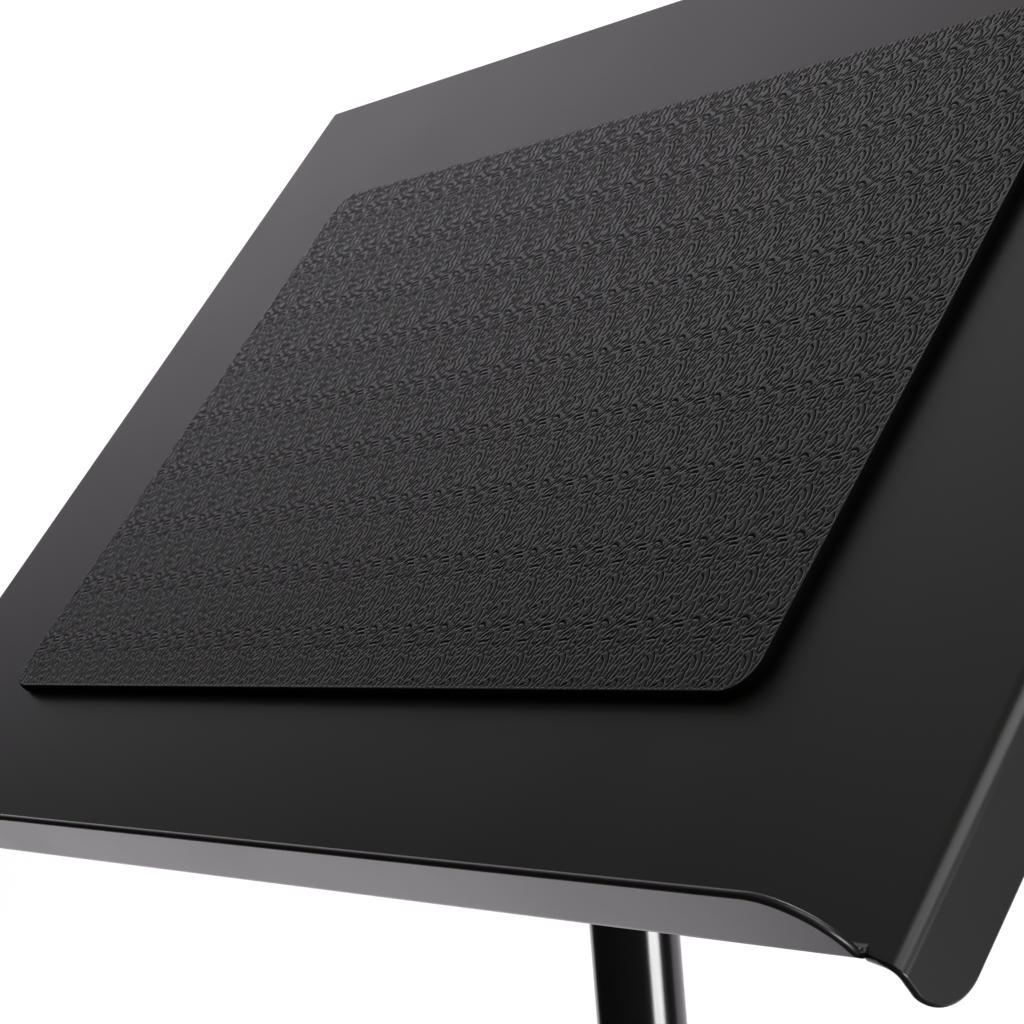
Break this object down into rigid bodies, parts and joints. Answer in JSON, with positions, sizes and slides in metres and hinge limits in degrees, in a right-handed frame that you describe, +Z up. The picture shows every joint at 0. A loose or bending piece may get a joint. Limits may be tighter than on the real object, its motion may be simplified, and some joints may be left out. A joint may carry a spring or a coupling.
{
  "type": "music stand",
  "caption": "Folded sheet-metal music desk with a bottom ledge and a rubber mat, on a tilting, telescopic column with a folding tripod.",
  "frame": {"origin": "on the floor, under the middle of the whole stand as it rests", "axes": "+Z up, +X to the player's right, and the desk faces -Y with one leg pointing to +Y"},
  "size_m": [0.5348, 0.4662, 1.106],
  "materials": {
    "desk_coat": "satin black powder coat",
    "tube_paint": "gloss black enamel",
    "brace_coat": "satin black powder coat",
    "mat_rubber": "matt black rubber with an embossed grain",
    "foot_rubber": "matt black rubber",
    "black_plastic": "matt black moulded plastic",
    "nylon": "natural nylon",
    "steel": "zinc-plated steel"
  },
  "bodies": {
    "base": {"lower_tube": "tube_paint", "tube_end_plug": "black_plastic", "leg_hub": "black_plastic", "hub_grub_screw": "steel", "collar_stop_ring": "steel", "clamp_housing": "black_plastic", "clamp_sleeve": "nylon", "clamp_screw": "steel", "leg_pin_1": "steel", "leg_pin_2": "steel", "leg_pin_3": "steel"},
    "brace_collar": {"brace_collar": "black_plastic", "brace_pin_1": "steel", "brace_pin_2": "steel", "brace_pin_3": "steel"},
    "collar_knob": {"collar_knob": "black_plastic", "collar_knob_stud": "steel"},
    "height_knob": {"height_knob": "black_plastic", "height_knob_stud": "steel"},
    "leg_1": {"leg_tube_1": "tube_paint", "leg_knuckle_1": "black_plastic", "leg_foot_1": "foot_rubber"},
    "leg_2": {"leg_tube_2": "tube_paint", "leg_knuckle_2": "black_plastic", "leg_foot_2": "foot_rubber"},
    "leg_3": {"leg_tube_3": "tube_paint", "leg_knuckle_3": "black_plastic", "leg_foot_3": "foot_rubber"},
    "brace_1": {"brace_1_left": "brace_coat", "brace_1_right": "brace_coat", "brace_rivet_1": "steel"},
    "brace_2": {"brace_2_left": "brace_coat", "brace_2_right": "brace_coat", "brace_rivet_2": "steel"},
    "brace_3": {"brace_3_left": "brace_coat", "brace_3_right": "brace_coat", "brace_rivet_3": "steel"},
    "guide_bush": {"guide_bush": "nylon"},
    "mast": {"upper_tube": "tube_paint", "tilt_head": "black_plastic", "head_screw": "steel"},
    "desk": {"desk_panel": "desk_coat", "rubber_mat": "mat_rubber", "tilt_bracket_left": "desk_coat", "tilt_bracket_right": "desk_coat", "weld_stud_1": "steel", "weld_stud_2": "steel", "weld_stud_3": "steel", "weld_stud_4": "steel", "bracket_nut_1": "steel", "bracket_nut_2": "steel", "bracket_nut_3": "steel", "bracket_nut_4": "steel", "tilt_bolt": "steel", "friction_disc_left": "nylon", "friction_disc_right": "nylon"},
    "tilt_knob": {"tilt_knob": "black_plastic", "tilt_knob_insert": "steel"}
  },
  "joints": [
    {"name": "leg_fold", "type": "hinge", "parent": "base", "child": "leg_1", "pos_m": [0, -0.03989, 0.17789], "axis": [-1, 0, 0], "range_deg": [0, 50]},
    {"name": "leg_2_fold", "type": "hinge", "parent": "base", "child": "leg_2", "pos_m": [-0.02858, -0.08939, 0.17789], "axis": [0.5, -0.866, 0], "range_deg": [0, 50]},
    {"name": "leg_3_fold", "type": "hinge", "parent": "base", "child": "leg_3", "pos_m": [0.02858, -0.08939, 0.17789], "axis": [0.5, 0.866, 0], "range_deg": [0, 50]},
    {"name": "collar_slide", "type": "slide", "parent": "base", "child": "brace_collar", "axis": [0, 0, 1], "range_m": [-0.0216, 0]},
    {"name": "brace_1_swing", "type": "hinge", "parent": "brace_collar", "child": "brace_1", "pos_m": [0, -0.03689, 0.24976], "axis": [-1, 0, 0], "range_deg": [0, 29.5]},
    {"name": "brace_2_swing", "type": "hinge", "parent": "brace_collar", "child": "brace_2", "pos_m": [-0.03118, -0.09089, 0.24976], "axis": [0.5, -0.866, 0], "range_deg": [0, 29.5]},
    {"name": "brace_3_swing", "type": "hinge", "parent": "brace_collar", "child": "brace_3", "pos_m": [0.03118, -0.09089, 0.24976], "axis": [0.5, 0.866, 0], "range_deg": [0, 29.5]},
    {"name": "collar_knob_turn", "type": "hinge", "parent": "brace_collar", "child": "collar_knob", "pos_m": [0, -0.07289, 0.24976], "axis": [0.866, 0.5, 0], "continuous": true},
    {"name": "height_slide", "type": "slide", "parent": "base", "child": "guide_bush", "axis": [0, 0, 1], "range_m": [-0.245, 0.2]},
    {"name": "mast_swivel", "type": "hinge", "parent": "guide_bush", "child": "mast", "pos_m": [0, -0.07289, 0.95], "axis": [0, 0, 1], "continuous": true},
    {"name": "height_knob_turn", "type": "hinge", "parent": "base", "child": "height_knob", "pos_m": [0, -0.07289, 0.62], "axis": [1, 0, 0], "continuous": true},
    {"name": "desk_tilt", "type": "hinge", "parent": "mast", "child": "desk", "pos_m": [0, -0.07289, 0.95], "axis": [1, 0, 0], "range_deg": [-48.2, 41.8]},
    {"name": "tilt_knob_turn", "type": "hinge", "parent": "desk", "child": "tilt_knob", "pos_m": [0, -0.07289, 0.95], "axis": [1, 0, 0], "continuous": true}
  ],
  "couplings": [
    {"joint": "leg_2_fold", "follows": "leg_fold", "ratio": 1},
    {"joint": "leg_3_fold", "follows": "leg_fold", "ratio": 1},
    {"joint": "collar_slide", "follows": "leg_fold", "m_per_rad": -0.024531},
    {"joint": "brace_1_swing", "follows": "leg_fold", "ratio": 0.58224},
    {"joint": "brace_2_swing", "follows": "leg_fold", "ratio": 0.58224},
    {"joint": "brace_3_swing", "follows": "leg_fold", "ratio": 0.58224}
  ]
}
